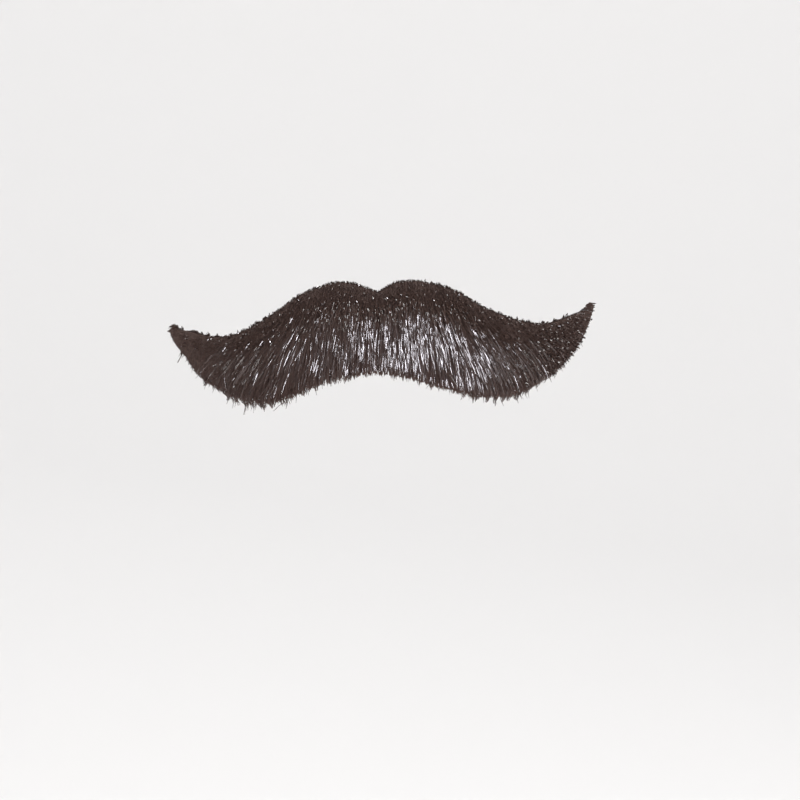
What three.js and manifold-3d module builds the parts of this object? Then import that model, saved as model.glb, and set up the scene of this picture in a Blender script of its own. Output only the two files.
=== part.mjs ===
// A self-adhesive false moustache: short black pile on one cut cloth, bent to the curve in which
// it is worn. Millimetres, +Z up. The back that sticks on looks along +Y, and the pile along -Y.
// The origin is on the back of the tape, half way down the section under the notch.
//
// Everything is laid out flat first, as the cloth is cut: along from the notch (negative on the
// left wing), up, and out from the tape's back. One function then bends that layout to the curve.

import * as THREE from "three";
import { mergeVertices } from "three/addons/utils/BufferGeometryUtils.js";
import Module from "manifold-3d";

const wasm = await Module();
wasm.setup();

// The outline of the hair, measured along the tape's back
const LEFT_LENGTH = 34.2;
const RIGHT_LENGTH = 35.9;
const TALLEST = 16.2;
const SAG = 5.3;

// The bend: a short flat stretch under the notch, then one arc for each wing
const FLAT_HALF = 3.0;
const BEND_RADIUS = 42.0;

// The layers, from the back outwards
const TAPE = 0.4;
const TAPE_GAP = 0.3;
const CLOTH = 1.0;
const PILE = 5.0;
const CLOTH_BACK = TAPE + TAPE_GAP;
const CLOTH_FRONT = CLOTH_BACK + CLOTH;

// How far the cloth stays inside the hair's outline, and the tape inside the cloth's
const TRIM_TOP = 0.4;
const OVERHANG = 1.7;
const TRIM_END = 0.6;
const TAPE_MARGIN = 1.3;

// The locks that the pile is combed into
const LOCK_SPACING = 2.3;
const LOCK_HALF_WIDTH = 1.5;
const LOCK_HALF_DEPTH = 0.9;
const LOCK_SINK = 0.7;
const TIP_LOCK = 5.0;
const ROUTE_STEP = 0.11 * LOCK_SPACING;

// How fine the facets are
const WING_STATIONS = 18;
const RIM_STEPS = 8;
const LOCK_SIDES = 5;
const LOCK_STEPS = 3;
const SMALLEST_DETAIL = 0.02 * CLOTH;

// Sections along each wing, from the notch to the tip. along: share of the wing's length.
// middle: height of the section's middle, as a share of SAG. tall: share of TALLEST.
// pile: share of PILE. sweep: degrees by which the hair leans outwards from straight down.
const RIGHT_SECTIONS = [
  { along: 0.0, middle: 0.0, tall: 0.79, pile: 0.86, sweep: 0 },
  { along: 0.07, middle: 0.09, tall: 0.91, pile: 0.94, sweep: 2 },
  { along: 0.15, middle: 0.08, tall: 0.98, pile: 1.0, sweep: 4 },
  { along: 0.22, middle: -0.04, tall: 1.0, pile: 1.0, sweep: 7 },
  { along: 0.32, middle: -0.23, tall: 1.0, pile: 1.0, sweep: 13 },
  { along: 0.42, middle: -0.52, tall: 0.92, pile: 0.96, sweep: 21 },
  { along: 0.54, middle: -0.7, tall: 0.8, pile: 0.88, sweep: 28 },
  { along: 0.69, middle: -0.61, tall: 0.61, pile: 0.76, sweep: 33 },
  { along: 0.83, middle: -0.26, tall: 0.46, pile: 0.64, sweep: 40 },
  { along: 0.93, middle: 0.2, tall: 0.28, pile: 0.5, sweep: 50 },
  { along: 1.0, middle: 0.96, tall: 0.08, pile: 0.3, sweep: 62 },
];
const LEFT_SECTIONS = [
  { along: 0.0, middle: 0.0, tall: 0.79, pile: 0.86, sweep: 0 },
  { along: 0.08, middle: 0.06, tall: 0.88, pile: 0.94, sweep: 2 },
  { along: 0.15, middle: 0.08, tall: 0.94, pile: 1.0, sweep: 4 },
  { along: 0.27, middle: -0.14, tall: 0.98, pile: 1.0, sweep: 9 },
  { along: 0.35, middle: -0.37, tall: 0.98, pile: 1.0, sweep: 15 },
  { along: 0.47, middle: -0.78, tall: 0.9, pile: 0.94, sweep: 23 },
  { along: 0.6, middle: -1.0, tall: 0.73, pile: 0.84, sweep: 28 },
  { along: 0.68, middle: -0.99, tall: 0.61, pile: 0.77, sweep: 32 },
  { along: 0.84, middle: -0.65, tall: 0.43, pile: 0.62, sweep: 42 },
  { along: 0.93, middle: -0.3, tall: 0.3, pile: 0.48, sweep: 52 },
  { along: 1.0, middle: 0.16, tall: 0.14, pile: 0.34, sweep: 62 },
];

// The pile's height over the cloth, from the top of a section down to its low edge.
const RISE = [
  { down: 0.0, rise: 0.3 },
  { down: 0.12, rise: 0.61 },
  { down: 0.3, rise: 0.85 },
  { down: 0.55, rise: 0.98 },
  { down: 0.8, rise: 1.0 },
  { down: 0.93, rise: 0.96 },
  { down: 1.0, rise: 0.8 },
];

// Tiers of locks that overlap like shingles. from, to: shares of the hair's way from the top
// edge to the low edge. shift: how far out a tier's first lock lies, and apart: how far its
// locks lie from each other, as shares of LOCK_SPACING. The lock at a wing's tip has its own.
const TIERS = [
  { from: 0.0, to: 0.48, shift: 0.5, apart: 1.0 },
  { from: 0.26, to: 0.8, shift: 0.0, apart: 1.0 },
  { from: 0.54, to: 1.0, shift: 0.3, apart: 0.62 },
];
const TIP_TIER = { from: 0.0, to: 1.0 };

// A lock from its root to its tip. wide, deep: shares of the half width and half depth.
// lift: how far its middle stands out from the pile's height, as a share of LOCK_SINK.
const LOCK_SHAPE = [
  { along: 0.0, wide: 0.7, deep: 0.6, lift: -1.0 },
  { along: 0.3, wide: 1.0, deep: 1.0, lift: -0.5 },
  { along: 0.7, wide: 0.95, deep: 0.9, lift: -0.3 },
  { along: 1.0, wide: 0.5, deep: 0.45, lift: -0.55 },
];

// Returns a function that reads one column of a table at any place between its rows.
function column(rows, place, value) {
  const places = rows.map((row) => row[place]);
  const curve = new THREE.CubicInterpolant(places, rows.map((row) => row[value]), 1);
  const first = places[0];
  const last = places[places.length - 1];
  return (at) => curve.evaluate(THREE.MathUtils.clamp(at, first, last))[0];
}

const riseAt = column(RISE, "down", "rise");
const lockWide = column(LOCK_SHAPE, "along", "wide");
const lockDeep = column(LOCK_SHAPE, "along", "deep");
const lockLift = column(LOCK_SHAPE, "along", "lift");

// One wing of the hair: side is -1 for the left wing and 1 for the right.
function makeWing(side, length, sections) {
  const read = (value) => {
    const at = column(sections, "along", value);
    return (reach) => at(reach / length);
  };
  const [middle, tall, pile, sweep] = ["middle", "tall", "pile", "sweep"].map(read);
  return {
    side,
    length,
    tallShare: tall,
    middle: (reach) => SAG * middle(reach),
    top: (reach) => SAG * middle(reach) + (TALLEST * tall(reach)) / 2,
    low: (reach) => SAG * middle(reach) - (TALLEST * tall(reach)) / 2,
    pile: (reach) => PILE * pile(reach),
    sweep: (reach) => THREE.MathUtils.degToRad(sweep(reach)),
  };
}

const LEFT = makeWing(-1, LEFT_LENGTH, LEFT_SECTIONS);
const RIGHT = makeWing(1, RIGHT_LENGTH, RIGHT_SECTIONS);
const wingOf = (along) => (along < 0 ? LEFT : RIGHT);

// How high the pile stands over the cloth at a place of the layout.
function pileHeight(along, up) {
  const wing = wingOf(along);
  const reach = Math.abs(along);
  const top = wing.top(reach);
  const down = (top - up) / (top - wing.low(reach));
  return wing.pile(reach) * riseAt(down);
}

// Bends a point of the flat layout to the worn curve.
function bend(along, up, out) {
  const turn = Math.max(0, Math.abs(along) - FLAT_HALF) / BEND_RADIUS;
  const flat = Math.min(Math.abs(along), FLAT_HALF);
  const across = flat + (BEND_RADIUS + out) * Math.sin(turn);
  const back = BEND_RADIUS - (BEND_RADIUS + out) * Math.cos(turn);
  return [Math.sign(along) * across, back, up];
}

// Moves each vertex of a geometry to where place() puts it, and closes its seams.
function reshape(geometry, place) {
  const corners = geometry.getAttribute("position");
  for (let i = 0; i < corners.count; i += 1) {
    corners.setXYZ(i, ...place(corners.getX(i), corners.getY(i), corners.getZ(i)));
  }
  geometry.deleteAttribute("normal");
  geometry.deleteAttribute("uv");
  return mergeVertices(geometry);
}

function toSolid(geometry) {
  const vertProperties = new Float32Array(geometry.getAttribute("position").array);
  const triVerts = new Uint32Array(geometry.index.array);
  return new wasm.Manifold(new wasm.Mesh({ numProp: 3, vertProperties, triVerts }));
}

function toGeometry(solid) {
  const { vertProperties, triVerts } = solid.getMesh();
  const geometry = new THREE.BufferGeometry();
  geometry.setAttribute("position", new THREE.BufferAttribute(vertProperties, 3));
  geometry.setIndex(new THREE.BufferAttribute(triVerts, 1));
  geometry.computeVertexNormals();
  return geometry;
}

// Drops facets too small to see, and fills the pockets that neighbouring locks shut in.
function cleaned(solid) {
  const shells = solid.simplify(SMALLEST_DETAIL).decompose();
  return wasm.Manifold.union(shells.filter((shell) => shell.volume() > 0));
}

// The reach of a station of a wing. The first stretch from the notch is the flat one.
function stationReach(station, end) {
  if (station === 0) return 0;
  return FLAT_HALF + ((end - FLAT_HALF) * (station - 1)) / (WING_STATIONS - 1);
}

// A layer that follows the outline: its edges stay inside the hair's outline by margins that
// shrink with the section, and back and front give how far out its two faces lie.
function layer({ end, top, low, steps, back, front }) {
  const block = new THREE.BoxGeometry(1, 1, 1, 2 * WING_STATIONS, steps, 1);
  return reshape(block, (x, y, z) => {
    const station = Math.round(2 * WING_STATIONS * x);
    const wing = station < 0 ? LEFT : RIGHT;
    const reach = stationReach(Math.abs(station), wing.length - end);
    const share = wing.tallShare(reach);
    const highest = wing.top(reach) - top * share;
    const lowest = wing.low(reach) + low * share;
    const along = wing.side * reach;
    const up = THREE.MathUtils.lerp(lowest, highest, y + 0.5);
    return bend(along, up, z < 0 ? back : front(along, up));
  });
}

// The points that combed hair passes from a place on a section's middle, one step apart, until
// it leaves the outline. step is positive down the hair and negative up it.
function followHair(wing, start, step) {
  const passed = [];
  let reach = start;
  let up = wing.middle(start);
  while (up <= wing.top(reach) && up >= wing.low(reach) && reach <= wing.length) {
    const lean = wing.sweep(reach);
    passed.push({ reach, up, lean });
    reach = Math.max(0, reach + step * Math.sin(lean));
    up -= step * Math.cos(lean);
  }
  return passed;
}

// The hair's whole way through a place on a section's middle, from the top edge to the low one.
function combedRoute(wing, start) {
  const above = followHair(wing, start, -ROUTE_STEP).reverse();
  const below = followHair(wing, start, ROUTE_STEP).slice(1);
  return [...above, ...below];
}

// The way along the sections' middles to the very tip of a wing, where the last lock lies.
function tipRoute(wing) {
  const route = [];
  for (let reach = wing.length - TIP_LOCK; reach < wing.length; reach += ROUTE_STEP) {
    const up = wing.middle(reach);
    const drop = up - wing.middle(reach + ROUTE_STEP);
    route.push({ reach, up, lean: Math.atan2(ROUTE_STEP, drop) });
  }
  return route;
}

// Locks shrink towards a wing's tip, more slowly than its section does.
const lockSize = (wing, reach) => Math.sqrt(wing.tallShare(reach));

// One lock: a tapered, flattened tube that follows a stretch of its route.
function lock(wing, route, tier) {
  const tube = new THREE.CylinderGeometry(1, 1, 1, LOCK_SIDES, LOCK_STEPS);
  const geometry = reshape(tube, (x, y, z) => {
    const along = 0.5 - y;
    const way = THREE.MathUtils.lerp(tier.from, tier.to, along) * (route.length - 1);
    const { reach, up, lean } = route[Math.round(way)];
    const size = lockSize(wing, reach);
    const across = x * size * LOCK_HALF_WIDTH * lockWide(along);
    const middle = wing.side * reach;
    const out = CLOTH_FRONT + pileHeight(middle, up) + LOCK_SINK * lockLift(along);
    const thick = z * size * LOCK_HALF_DEPTH * lockDeep(along);
    return bend(middle + across * Math.cos(lean), up + wing.side * across * Math.sin(lean), out + thick);
  });
  return toSolid(geometry);
}

function makeTape() {
  return layer({
    end: TRIM_END + TAPE_MARGIN,
    top: TRIM_TOP + TAPE_MARGIN,
    low: OVERHANG + TAPE_MARGIN,
    steps: 1,
    back: 0,
    front: () => TAPE,
  });
}

// The ground cloth with the locks of every tier fused to it. A lock's route starts over cloth.
function makeFurCloth() {
  const ground = layer({
    end: TRIM_END,
    top: TRIM_TOP,
    low: OVERHANG,
    steps: RIM_STEPS,
    back: CLOTH_BACK,
    front: (along, up) => CLOTH_FRONT + Math.max(0, pileHeight(along, up) - LOCK_SINK),
  });
  const solids = [toSolid(ground)];
  for (const wing of [LEFT, RIGHT]) {
    for (const tier of TIERS) {
      let start = LOCK_SPACING * tier.shift;
      while (start < wing.length - TRIM_END) {
        solids.push(lock(wing, combedRoute(wing, start), tier));
        start += LOCK_SPACING * tier.apart * lockSize(wing, start);
      }
    }
    solids.push(lock(wing, tipRoute(wing), TIP_TIER));
  }
  return toGeometry(cleaned(wasm.Manifold.union(solids)));
}

const furMaterial = new THREE.MeshStandardMaterial({ color: 0x2a2321, roughness: 0.42 });
const tapeMaterial = new THREE.MeshStandardMaterial({ color: 0xe6e0cf, roughness: 0.35 });

const furCloth = new THREE.Mesh(makeFurCloth(), furMaterial);
furCloth.name = "fur_cloth";

const adhesiveTape = new THREE.Mesh(makeTape(), tapeMaterial);
adhesiveTape.name = "adhesive_tape";

const moustache = new THREE.Group();
moustache.add(furCloth, adhesiveTape);

export default moustache;
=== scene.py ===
"""A self-adhesive false moustache: dark combed pile on a cut ground cloth, with a film of adhesive.

Lengths are millimetres, as on a cutting table, but metres in the finishes, the lights and the
paper. Each piece is laid out flat first: along from the notch (negative on the left wing), up, and
out from the sticky back. Pattern.place bends that layout to the worn curve, and gives metres in
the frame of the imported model.
"""

import logging
import math
from dataclasses import dataclass, field, replace
from enum import Enum
from typing import Callable, Optional, Union

import bmesh
import bpy
import numpy as np
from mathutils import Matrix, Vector

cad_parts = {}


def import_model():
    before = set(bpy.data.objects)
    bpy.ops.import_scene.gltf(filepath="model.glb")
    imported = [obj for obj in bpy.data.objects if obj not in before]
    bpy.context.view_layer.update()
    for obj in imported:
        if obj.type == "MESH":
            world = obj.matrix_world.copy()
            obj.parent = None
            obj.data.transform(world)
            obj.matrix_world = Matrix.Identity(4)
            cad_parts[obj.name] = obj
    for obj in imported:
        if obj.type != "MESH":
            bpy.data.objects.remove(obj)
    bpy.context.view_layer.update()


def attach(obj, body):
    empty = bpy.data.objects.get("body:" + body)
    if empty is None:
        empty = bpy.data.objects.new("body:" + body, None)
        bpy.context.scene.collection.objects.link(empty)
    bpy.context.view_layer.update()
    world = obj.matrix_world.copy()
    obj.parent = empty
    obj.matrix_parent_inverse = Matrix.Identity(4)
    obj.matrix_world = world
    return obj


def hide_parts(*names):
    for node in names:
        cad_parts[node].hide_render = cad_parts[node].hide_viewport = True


log = logging.getLogger("moustache")

Array = np.ndarray
Socket = bpy.types.NodeSocket
Colour = tuple[float, float, float]
Triple = tuple[float, float, float]
Pair = tuple[float, float]
Material = bpy.types.Material
Piece = bpy.types.Object
Shell = bmesh.types.BMesh

MM = 0.001
MM_IN_CM = 10
TINY = 1e-6


# Curves and tables


@dataclass(frozen=True)
class Profile:
    """A smooth curve through a few given places.

    Its slope at a place is that of the line between the place's neighbours.
    """

    places: tuple[float, ...]
    values: tuple[float, ...]

    def at(self, where: Array) -> Array:
        """Reads the curve.

        Args:
            where: Places to read. Past the ends, the end's value holds.

        Returns:
            The curve's values there.
        """
        x = np.array(self.places)
        y = np.array(self.values)
        slope = np.gradient(y, x)
        where = np.clip(where, x[0], x[-1])
        row = np.clip(np.searchsorted(x, where, side="right") - 1, 0, len(x) - 2)
        span = x[row + 1] - x[row]
        t = (where - x[row]) / span
        rise = y[row + 1] - y[row]
        blend = t * t * (3 - 2 * t)
        start_pull = t * (1 - t) ** 2 * span * slope[row]
        end_pull = t * t * (t - 1) * span * slope[row + 1]
        return y[row] + rise * blend + start_pull + end_pull


def level(value: float) -> Profile:
    """A curve with one value all along."""
    return Profile((0.0, 1.0), (value, value))


@dataclass(frozen=True)
class Section:
    """A section across a wing. sweep is in degrees. The rest are shares of the pattern's sizes."""

    along: float
    middle: float
    tall: float
    pile: float
    sweep: float


# Each row gives along, middle, tall, pile and sweep.
RIGHT_SECTIONS = (
    Section(0.0, 0.0, 0.79, 0.86, 0),
    Section(0.07, 0.09, 0.91, 0.94, 2),
    Section(0.15, 0.08, 0.98, 1.0, 4),
    Section(0.22, -0.04, 1.0, 1.0, 7),
    Section(0.32, -0.23, 1.0, 1.0, 13),
    Section(0.42, -0.52, 0.92, 0.96, 21),
    Section(0.54, -0.69, 0.79, 0.88, 28),
    Section(0.69, -0.59, 0.58, 0.76, 33),
    Section(0.76, -0.45, 0.49, 0.7, 36),
    Section(0.83, -0.2, 0.4, 0.64, 40),
    Section(0.88, 0.02, 0.32, 0.59, 44),
    Section(0.93, 0.33, 0.18, 0.53, 50),
    Section(0.97, 0.62, 0.06, 0.42, 58),
    Section(1.0, 0.89, 0.01, 0.3, 62),
)
LEFT_SECTIONS = (
    Section(0.0, 0.0, 0.79, 0.86, 0),
    Section(0.08, 0.06, 0.88, 0.94, 2),
    Section(0.15, 0.08, 0.94, 1.0, 4),
    Section(0.27, -0.14, 0.98, 1.0, 9),
    Section(0.35, -0.37, 0.98, 1.0, 15),
    Section(0.47, -0.77, 0.88, 0.94, 23),
    Section(0.6, -0.97, 0.7, 0.84, 28),
    Section(0.68, -0.95, 0.57, 0.77, 32),
    Section(0.76, -0.82, 0.46, 0.7, 36),
    Section(0.84, -0.59, 0.36, 0.62, 42),
    Section(0.89, -0.35, 0.25, 0.55, 47),
    Section(0.93, -0.22, 0.19, 0.48, 52),
    Section(0.97, -0.06, 0.12, 0.41, 58),
    Section(1.0, 0.14, 0.07, 0.36, 62),
)


@dataclass(frozen=True)
class Wing:
    """One wing of the cut: how its sections run from the notch to the tip."""

    length: float
    sections: tuple[Section, ...]
    tallest: float = 16.2
    sag: float = 5.3

    def read(self, column: str, reach: Array) -> Array:
        """Reads one column of the sections at distances from the notch, in millimetres."""
        places, values = zip(*((row.along, getattr(row, column)) for row in self.sections))
        return Profile(places, values).at(np.abs(reach) / self.length)

    def middle(self, reach: Array) -> Array:
        """Height of the section's middle."""
        return self.sag * self.read("middle", reach)

    def half(self, reach: Array) -> Array:
        """Half of the section's height."""
        return self.tallest * self.read("tall", reach) / 2


@dataclass(frozen=True)
class Pattern:
    """The cut pattern of the whole moustache, its pile and the curve in which it is worn.

    Over the way from the top edge to the low one, hang is how much of the section's sweep the
    comb has, and rise is how much of the pile's length it stands out.
    """

    left: Wing = Wing(34.2, LEFT_SECTIONS)
    right: Wing = Wing(35.9, RIGHT_SECTIONS)
    flat_half: float = 3.0
    bend_radius: float = 42.0
    cloth_back: float = 0.7
    cloth_front: float = 1.7
    pile: float = 5.0
    hang: Profile = Profile((0.0, 0.35, 0.7, 1.0), (1.1, 1.25, 0.95, 0.5))
    rise: Profile = Profile(
        (-0.05, 0.0, 0.1, 0.25, 0.45, 0.68, 0.88, 0.96, 1.0, 1.06),
        (0.18, 0.28, 0.54, 0.77, 0.92, 1.0, 1.0, 0.97, 0.88, 0.34),
    )

    def pick(self, along: Array, reading: Callable[[Wing], Array]) -> Array:
        """Reads each place from the wing that it lies on.

        Args:
            along: Places along the pattern.
            reading: What to read of a wing for all the places.

        Returns:
            The readings, from the left wing where along is negative.
        """
        return np.where(along < 0, reading(self.left), reading(self.right))

    def tall_share(self, along: Array) -> Array:
        """How tall the section is, as a share of the tallest."""
        return self.pick(along, lambda wing: wing.read("tall", along))

    def fullness(self, along: Array) -> Array:
        """How long the pile is, as a share of the longest."""
        return self.pick(along, lambda wing: wing.read("pile", along))

    def top(self, along: Array) -> Array:
        """Height of the hair's top edge."""
        return self.pick(along, lambda wing: wing.middle(along) + wing.half(along))

    def low(self, along: Array) -> Array:
        """Height of the hair's low edge."""
        return self.pick(along, lambda wing: wing.middle(along) - wing.half(along))

    def down(self, along: Array, up: Array) -> Array:
        """Share of the way from the top edge, 0, to the low edge, 1."""
        top = self.top(along)
        return (top - up) / (top - self.low(along))

    def lean(self, along: Array, up: Array) -> Array:
        """The comb's direction, in radians from straight down, positive towards +along."""
        sweep = self.pick(along, lambda wing: wing.read("sweep", along))
        return np.radians(sweep) * np.sign(along) * self.hang.at(self.down(along, up))

    def height(self, along: Array, up: Array) -> Array:
        """How far the combed pile stands out over the cloth."""
        return self.pile * self.fullness(along) * self.rise.at(self.down(along, up))

    def turn(self, along: Array) -> Array:
        """How far the bend has turned at a place, in radians."""
        bent = np.maximum(0, np.abs(along) - self.flat_half)
        return np.sign(along) * bent / self.bend_radius

    def place(self, along: Array, up: Array, out: Array) -> Array:
        """Bends places of the flat layout to the worn curve.

        Args:
            along: Distances from the notch, in millimetres.
            up: Heights.
            out: Distances out from the sticky back.

        Returns:
            Points in metres, with the coordinates in the last axis.
        """
        turn = self.turn(along)
        flat = np.clip(along, -self.flat_half, self.flat_half)
        arm = self.bend_radius + out
        x = flat + arm * np.sin(turn)
        y = self.bend_radius - arm * np.cos(turn)
        return np.stack([x, y, up + 0 * x], axis=-1) * MM

    def outward(self, along: Array) -> Array:
        """Unit vectors that point straight out of the worn back."""
        turn = self.turn(along)
        return np.stack([np.sin(turn), -np.cos(turn), 0 * turn], axis=-1)


# Node materials


@dataclass
class Shader:
    """A Principled material and short ways to add nodes to it."""

    name: str
    tree: bpy.types.NodeTree = field(init=False)
    surface: bpy.types.Node = field(init=False)
    material: Material = field(init=False)

    def __post_init__(self) -> None:
        """Makes the material with its surface node."""
        self.material = bpy.data.materials.new(self.name)
        self.material.use_nodes = True
        self.tree = self.material.node_tree
        self.surface = self.tree.nodes["Principled BSDF"]

    def settle(self, **values: Union[float, Colour]) -> None:
        """Sets the surface's own sockets. An underscore in a name stands for a space."""
        for name, value in values.items():
            socket = self.surface.inputs[name.replace("_", " ")]
            socket.default_value = (*value, 1.0) if isinstance(value, tuple) else value

    def add(
        self, kind: str, inputs: dict[Union[str, int], object], **settings: object
    ) -> bpy.types.Node:
        """Adds a node.

        Args:
            kind: The node's type, without its ShaderNode prefix.
            inputs: Values or sockets for the node's inputs.
            settings: The node's own properties.

        Returns:
            The new node.
        """
        node = self.tree.nodes.new("ShaderNode" + kind)
        for name, value in settings.items():
            setattr(node, name, value)
        for name, value in inputs.items():
            if isinstance(value, Socket):
                self.tree.links.new(value, node.inputs[name])
            elif value is not None:
                node.inputs[name].default_value = value
        return node

    def math(self, operation: str, first: object, second: object = None) -> Socket:
        """Works out one operation on numbers."""
        node = self.add("Math", {0: first, 1: second}, operation=operation)
        return node.outputs[0]

    def attribute(self, name: str) -> Socket:
        """Reads a number that the mesh carries."""
        return self.add("Attribute", {}, attribute_name=name).outputs["Fac"]

    def position(self, scale: Triple = (1, 1, 1)) -> Socket:
        """Object coordinates times a scale for each axis."""
        coordinates = self.add("TexCoord", {}).outputs["Object"]
        return self.add("Mapping", {"Vector": coordinates, "Scale": scale}).outputs[0]

    def noise(self, where: Socket, scale: float, detail: float = 3.0) -> Socket:
        """Smooth noise from 0 to 1."""
        return self.add("TexNoise", {"Vector": where, "Scale": scale, "Detail": detail}).outputs[0]

    def ramp(self, factor: Socket, stops: tuple[tuple[float, Colour], ...]) -> Socket:
        """Colours along a factor, with straight blends between the stops.

        Args:
            factor: Where to read.
            stops: Places and their colours.

        Returns:
            The colour there.
        """
        node = self.add("ValToRGB", {0: factor})
        bar = node.color_ramp.elements
        while len(bar) < len(stops):
            bar.new(0.5)
        for mark, (place, colour) in zip(bar, stops):
            mark.position = place
            mark.color = (*colour, 1.0)
        return node.outputs[0]

    def span(self, factor: Socket, low: float, high: float) -> Socket:
        """Maps a factor from 0..1 to low..high."""
        node = self.add("MapRange", {0: factor, 3: low, 4: high})
        return node.outputs[0]

    def blend(self, factor: Socket, first: Socket, second: Union[Socket, Colour]) -> Socket:
        """Mixes two colours.

        Args:
            factor: The share of the second.
            first: A colour.
            second: Another.

        Returns:
            The mix.
        """
        node = self.add("Mix", {0: factor, 6: first}, data_type="RGBA")
        if isinstance(second, Socket):
            self.tree.links.new(second, node.inputs[7])
        else:
            node.inputs[7].default_value = (*second, 1.0)
        return node.outputs[2]

    def bump(self, height: Socket, strength: float, depth: float) -> None:
        """Bumps the surface by a height map whose full range is depth, in metres."""
        node = self.add("Bump", {"Height": height, "Strength": strength, "Distance": depth})
        self.link("Normal", node.outputs[0])

    def link(self, name: str, source: Socket) -> None:
        """Links one of the surface's own sockets."""
        self.tree.links.new(source, self.surface.inputs[name])


@dataclass(frozen=True)
class FibreFinish:
    """Glossy synthetic fibre, near black with a brown cast that shows at the tips."""

    name: str = "pile_fibre"
    black: Colour = (0.048, 0.029, 0.024)
    usual: Colour = (0.072, 0.044, 0.036)
    brown: Colour = (0.095, 0.060, 0.049)
    tip: Colour = (0.140, 0.088, 0.071)
    smooth: float = 0.10
    dull: float = 0.26
    shine: float = 0.95
    patch_scale: float = 260.0
    patches: Pair = (0.2, 0.9)
    tip_power: float = 7.0

    def material(self) -> Material:
        """Makes the material.

        Returns:
            The material.
        """
        shader = Shader(self.name)
        shader.settle(Specular_IOR_Level=self.shine, IOR=1.5)
        tone = shader.attribute("tone")
        run = shader.attribute("run")
        base = shader.ramp(tone, ((0.0, self.black), (0.6, self.usual), (1.0, self.brown)))
        patches = shader.noise(shader.position(), self.patch_scale)
        tipward = shader.math("POWER", run, self.tip_power)
        tipward = shader.math("MULTIPLY", tipward, shader.span(patches, *self.patches))
        shader.link("Base Color", shader.blend(tipward, base, self.tip))
        shader.link("Roughness", shader.span(tone, self.smooth, self.dull))
        return shader.material


@dataclass(frozen=True)
class UnderPileFinish:
    """The dense dull roots of the pile, seen only between the combed fibres."""

    name: str = "pile_roots"
    dark: Colour = (0.045, 0.028, 0.023)
    light: Colour = (0.085, 0.053, 0.043)
    fibre_scale: float = 5200.0
    stretch: float = 0.12
    bump_depth: float = 0.00025

    def material(self) -> Material:
        """Makes the material.

        Returns:
            The material.
        """
        shader = Shader(self.name)
        shader.settle(Specular_IOR_Level=0.25)
        where = shader.position((1, 1, self.stretch))
        fibres = shader.noise(where, self.fibre_scale, 2.0)
        shader.link("Base Color", shader.ramp(fibres, ((0.3, self.dark), (0.7, self.light))))
        shader.link("Roughness", shader.span(fibres, 0.75, 0.55))
        shader.bump(fibres, strength=0.8, depth=self.bump_depth)
        return shader.material


@dataclass(frozen=True)
class KnitFinish:
    """Black warp knit: rows of small slanted stitches in wales, with painted shade in the low
    valleys between them. The UV map is in centimetres.
    """

    name: str = "ground_knit"
    # The darkest knit colour, used in the valleys between the stitches, is painted shade.
    valley_shade: Colour = (0.010, 0.009, 0.010)
    yarn: Colour = (0.045, 0.040, 0.040)
    wales: float = 13.0
    courses: float = 17.0
    slant: float = 1.3
    fuzz_scale: float = 9000.0
    bump_depth: float = 0.00016

    def stitches(self, shader: Shader) -> Socket:
        """Draws the stitches.

        Args:
            shader: The material to draw them in.

        Returns:
            Their heights, from 0 to 1.
        """
        uv = shader.add("SeparateXYZ", {0: shader.add("UVMap", {}).outputs[0]})
        wale = shader.math("PINGPONG", shader.math("MULTIPLY", uv.outputs[0], self.wales), 0.5)
        course = shader.math("MULTIPLY", uv.outputs[1], self.courses)
        slanted = shader.math("ADD", course, shader.math("MULTIPLY", wale, self.slant))
        loop = shader.math("PINGPONG", slanted, 0.5)
        rib = shader.math("SINE", shader.math("MULTIPLY", wale, 2 * math.pi))
        return shader.math("MULTIPLY", shader.math("MULTIPLY", loop, 2.0), rib)

    def material(self) -> Material:
        """Makes the material.

        Returns:
            The material.
        """
        shader = Shader(self.name)
        shader.settle(Specular_IOR_Level=0.3, Roughness=0.7, Sheen_Weight=0.15)
        fuzz = shader.noise(shader.position(), self.fuzz_scale)
        # The stitches' fuzzed height sets both the bump and the colour. The ramp paints the low
        # valleys near black as painted shade, and the tops in the yarn's own colour.
        worn = shader.math("MULTIPLY", self.stitches(shader), shader.span(fuzz, 0.6, 1.2))
        shader.link("Base Color", shader.ramp(worn, ((0.1, self.valley_shade), (0.9, self.yarn))))
        shader.bump(worn, strength=0.9, depth=self.bump_depth)
        return shader.material


@dataclass(frozen=True)
class FilmFinish:
    """Pale adhesive film with small trapped bubbles. The knit under it shows through faintly."""

    name: str = "adhesive_film"
    pale: Colour = (0.60, 0.565, 0.47)
    wetted: Colour = (0.46, 0.43, 0.355)
    bubble: Colour = (0.74, 0.72, 0.66)
    knit: KnitFinish = KnitFinish()
    knit_shows: float = 0.35
    bubble_shows: float = 0.6
    patch_scale: float = 620.0
    bubble_scale: float = 1500.0
    grain_scale: float = 5200.0
    bump_depth: float = 0.00006

    def material(self) -> Material:
        """Makes the material.

        Returns:
            The material.
        """
        shader = Shader(self.name)
        shader.settle(Coat_Weight=0.35, Coat_Roughness=0.12)
        where = shader.position()
        patches = shader.noise(where, self.patch_scale, 5.0)
        base = shader.ramp(patches, ((0.3, self.wetted), (0.66, self.pale)))
        knit = shader.math("MULTIPLY", self.knit.stitches(shader), self.knit_shows)
        base = shader.blend(knit, base, self.wetted)
        cells = shader.add("TexVoronoi", {"Vector": where, "Scale": self.bubble_scale})
        bubbles = shader.ramp(cells.outputs["Distance"], ((0.10, (1, 1, 1)), (0.16, (0, 0, 0))))
        bubbly = shader.math("MULTIPLY", bubbles, self.bubble_shows)
        shader.link("Base Color", shader.blend(bubbly, base, self.bubble))
        shader.link("Roughness", shader.span(patches, 0.5, 0.28))
        grain = shader.noise(where, self.grain_scale, 2.0)
        bumps = shader.math("ADD", grain, bubbles)
        shader.bump(bumps, strength=0.5, depth=self.bump_depth)
        return shader.material


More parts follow.
